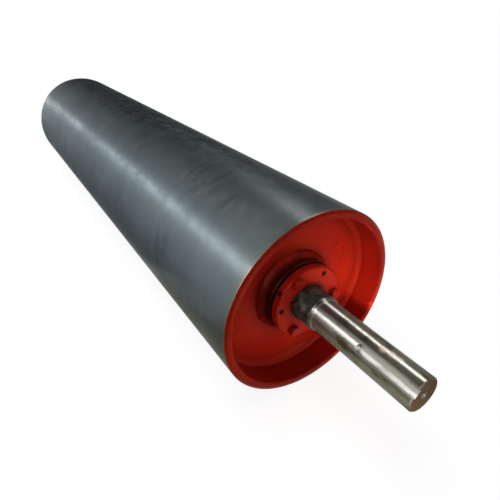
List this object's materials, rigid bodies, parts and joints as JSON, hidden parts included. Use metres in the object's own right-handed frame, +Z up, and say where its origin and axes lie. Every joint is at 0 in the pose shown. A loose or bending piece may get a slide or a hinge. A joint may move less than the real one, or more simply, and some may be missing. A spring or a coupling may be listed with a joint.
{
  "type": "conveyor pulley drum",
  "caption": "Welded steel belt conveyor drive pulley with recessed red ends, split taper bushings and a keyed through shaft.",
  "frame": {"origin": "on the shaft axis at the middle of the drum face", "axes": "+X along the shaft towards the keyed drive end, +Z up"},
  "size_m": [1.6002, 0.3048, 0.3047],
  "materials": {
    "shell_steel": "turned and lightly oiled",
    "red_enamel": "satin enamel",
    "raw_steel": "plain rolled or milled",
    "shaft_steel": "turned journals under a thin rust preventive film"
  },
  "bodies": {
    "drum_and_shaft": {"drum_shell": "shell_steel", "drive_end_disc": "red_enamel", "tail_end_disc": "red_enamel", "drive_centre_disc": "raw_steel", "tail_centre_disc": "raw_steel", "drive_rim_weld": "red_enamel", "tail_rim_weld": "red_enamel", "drive_centre_weld": "raw_steel", "tail_centre_weld": "raw_steel", "drive_hub": "red_enamel", "tail_hub": "red_enamel", "drive_hub_weld": "red_enamel", "tail_hub_weld": "red_enamel", "drive_hub_back_weld": "raw_steel", "tail_hub_back_weld": "raw_steel", "drive_bushing_key": "raw_steel", "tail_bushing_key": "raw_steel", "pulley_shaft": "shaft_steel"},
    "drive_bushing_set": {"drive_bushing": "red_enamel", "drive_cap_screws": "red_enamel", "drive_lock_washers": "red_enamel", "drive_set_screw": "raw_steel"},
    "tail_bushing_set": {"tail_bushing": "red_enamel", "tail_cap_screws": "red_enamel", "tail_lock_washers": "red_enamel", "tail_set_screw": "raw_steel"}
  },
  "joints": [
    {"name": "drive_bushing_release", "type": "slide", "parent": "drum_and_shaft", "child": "drive_bushing_set", "axis": [1, 0, 0], "range_m": [0, 0.008]},
    {"name": "tail_bushing_release", "type": "slide", "parent": "drum_and_shaft", "child": "tail_bushing_set", "axis": [-1, 0, 0], "range_m": [0, 0.008]}
  ]
}
